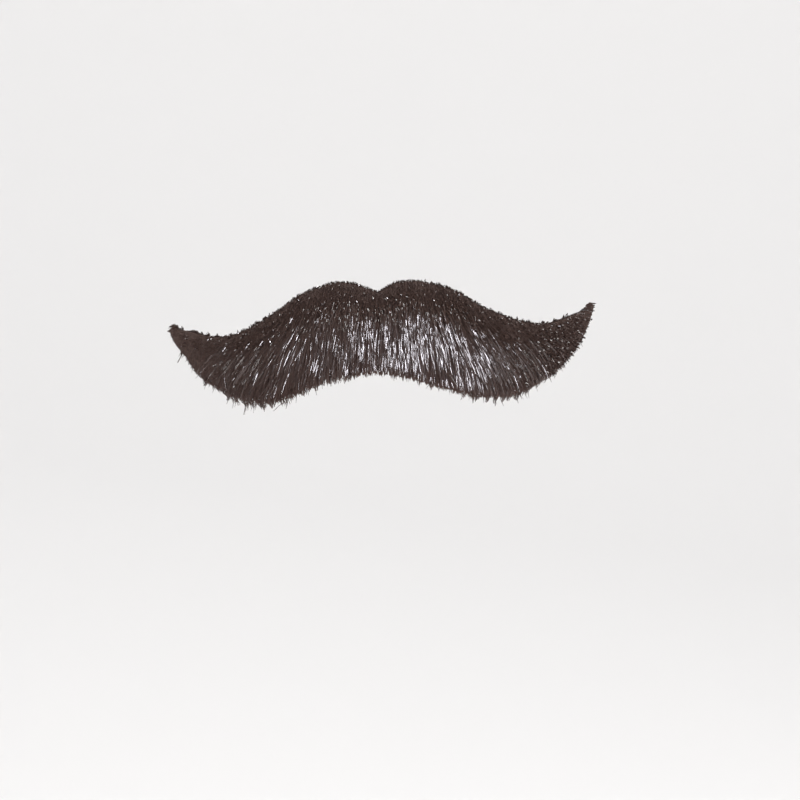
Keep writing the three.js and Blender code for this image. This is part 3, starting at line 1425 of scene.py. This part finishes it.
@dataclass(frozen=True)
class Camera:
    """A level camera in front of the moustache, framed as the photograph is."""

    pixel: float = 0.1589
    picture: int = 800
    origin_column: float = 378.0
    origin_row: float = 332.5
    lens: float = 300.0
    sensor: float = 36.0
    front: float = 3.0

    def build(self) -> None:
        """Places the camera, with no shift and no depth of field."""
        width = self.pixel * self.picture
        distance = width * self.lens / self.sensor
        data = bpy.data.cameras.new("camera")
        data.lens = self.lens
        data.sensor_width = self.sensor
        camera = bpy.data.objects.new("camera", data)
        camera.location = (
            (self.picture / 2 - self.origin_column) * self.pixel * MM,
            (self.front - distance) * MM,
            (self.origin_row - self.picture / 2) * self.pixel * MM,
        )
        camera.rotation_euler = (math.pi / 2, 0, 0)
        bpy.context.scene.collection.objects.link(camera)
        bpy.context.scene.camera = camera


@dataclass(frozen=True)
class Studio:
    """A pale paper sweep and soft lights. Lengths are metres."""

    floor: float = -0.25
    half_width: float = 2.5
    near: float = -4.0
    wall: float = 1.9
    sweep: float = 0.7
    tall: float = 1.8
    sky: Colour = (0.86, 0.88, 0.92)
    sky_strength: float = 0.18
    lights: tuple[SoftBox, ...] = (
        SoftBox("key", 4, 6, 1.3, wide=0.36, tall=0.16, power=6.6, tint=(0.94, 0.92, 1.0)),
        SoftBox("left_fill", -78, 28, 1.5, wide=0.6, tall=0.6, power=7.0),
        SoftBox("right_fill", 78, 28, 1.5, wide=0.6, tall=0.6, power=12.0),
        SoftBox("over", 10, 76, 1.2, wide=0.8, tall=0.5, power=11.0),
        SoftBox("behind", 165, 35, 1.3, wide=1.0, tall=1.0, power=9.0),
        SoftBox("wall", 180, 50, 1.1, wide=1.6, tall=0.4, power=8.0, aim=(0.0, 1.9, 0.1)),
    )

    def paper(self) -> None:
        """Hangs the paper: a floor that curves up into a wall."""
        shell = bmesh.new()
        edge = bmesh.ops.create_vert(shell, co=(-self.half_width, self.near, self.floor))["vert"]
        bend = (-self.half_width, self.wall - self.sweep, self.floor + self.sweep)
        edge = bmesh.ops.extrude_vert_indiv(shell, verts=edge)["verts"]
        bmesh.ops.translate(shell, verts=edge, vec=(0, bend[1] - self.near, 0))
        bmesh.ops.spin(
            shell, geom=edge, cent=bend, axis=(1, 0, 0), angle=math.pi / 2, steps=24, dvec=(0, 0, 0)
        )
        shell.verts.ensure_lookup_table()
        edge = [max(shell.verts, key=lambda vert: vert.co.z)]
        edge = bmesh.ops.extrude_vert_indiv(shell, verts=edge)["verts"]
        bmesh.ops.translate(shell, verts=edge, vec=(0, 0, self.tall))
        strip = bmesh.ops.extrude_edge_only(shell, edges=shell.edges[:])["geom"]
        bmesh.ops.translate(shell, verts=points_of(strip), vec=(2 * self.half_width, 0, 0))
        bmesh.ops.recalc_face_normals(shell, faces=shell.faces)
        as_object(shell, "paper_sweep", StudioFinish().material())

    def build(self) -> None:
        """Sets up the paper, the lights and the light of the room."""
        self.paper()
        for light in self.lights:
            light.build()
        world = bpy.data.worlds.new("room")
        world.use_nodes = True
        room = world.node_tree.nodes["Background"]
        room.inputs[0].default_value = (*self.sky, 1.0)
        room.inputs[1].default_value = self.sky_strength
        bpy.context.scene.world = world
        bpy.context.scene.view_settings.view_transform = "Standard"


def report(piece: Piece) -> None:
    """Says how many triangles a piece has."""
    triangles = sum(len(face.vertices) - 2 for face in piece.data.polygons)
    log.info("%s: %d triangles", piece.name, triangles)


def main() -> None:
    """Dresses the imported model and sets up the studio."""
    logging.basicConfig(level=logging.INFO, format="%(message)s")
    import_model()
    Camera().build()
    Studio().build()
    pattern = Pattern()
    report(GroundCloth(pattern).build())
    report(AdhesiveFilm(pattern).build())
    report(UnderPile(pattern).build())
    for piece in CombedPile(pattern, Comb(pattern)).build():
        report(piece)


if __name__ == "__main__":
    main()
